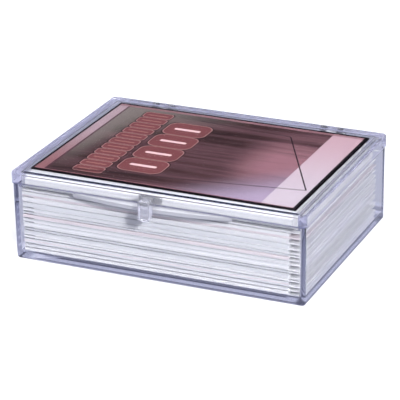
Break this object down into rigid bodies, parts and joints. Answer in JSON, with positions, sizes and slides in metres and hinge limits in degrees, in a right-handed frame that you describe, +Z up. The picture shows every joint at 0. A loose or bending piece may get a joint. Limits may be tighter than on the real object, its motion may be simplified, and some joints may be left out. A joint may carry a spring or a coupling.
{
  "type": "hinged trading card box",
  "caption": "Clear moulded box with a hinged snap lid, a crescent lip and a latch tab, filled with a flat stack of trading cards.",
  "frame": {"origin": "centre of the base's flat bottom face, on the surface that the box rests on", "axes": "+X to the right along the long side, -Y towards the latch at the front, +Y towards the hinge, +Z up"},
  "size_m": [0.098, 0.0828, 0.0295],
  "materials": {
    "clear_base": "polished",
    "clear_lid": "polished",
    "card_stock": "satin",
    "top_card": "gloss"
  },
  "bodies": {
    "base": {"base": "clear_base", "card_01": "card_stock", "card_02": "card_stock", "card_03": "card_stock", "card_04": "card_stock", "card_05": "card_stock", "card_06": "card_stock", "card_07": "card_stock", "card_08": "card_stock", "card_09": "card_stock", "card_10": "card_stock", "card_11": "card_stock", "card_12": "card_stock", "card_13": "card_stock", "card_14": "card_stock", "card_15": "card_stock", "card_16": "card_stock", "card_17": "card_stock", "card_18": "card_stock", "card_19": "card_stock", "card_20": "card_stock", "card_21": "card_stock", "card_22": "card_stock", "card_23": "card_stock", "card_24": "card_stock", "card_25": "card_stock", "card_26": "card_stock", "card_27": "card_stock", "card_28": "card_stock", "card_29": "card_stock", "card_30": "card_stock", "card_31": "card_stock", "card_32": "card_stock", "card_33": "card_stock", "card_34": "card_stock", "card_35": "card_stock", "card_36": "card_stock", "card_37": "card_stock", "card_38": "card_stock", "card_39": "card_stock", "card_40": "card_stock", "card_41": "card_stock", "card_42": "card_stock", "card_43": "card_stock", "card_44": "card_stock", "card_45": "card_stock", "card_46": "card_stock", "card_47": "card_stock", "card_48": "card_stock", "card_49": "card_stock", "card_50": "card_stock", "card_51": "card_stock", "card_52": "card_stock", "card_53": "card_stock", "card_54": "card_stock", "card_55": "card_stock", "card_56": "card_stock", "card_57": "top_card"},
    "lid": {"lid": "clear_lid"}
  },
  "joints": [
    {"name": "lid_hinge", "type": "hinge", "parent": "base", "child": "lid", "pos_m": [0, 0.0388, 0.0255], "axis": [-1, 0, 0], "range_deg": [0, 180]}
  ]
}
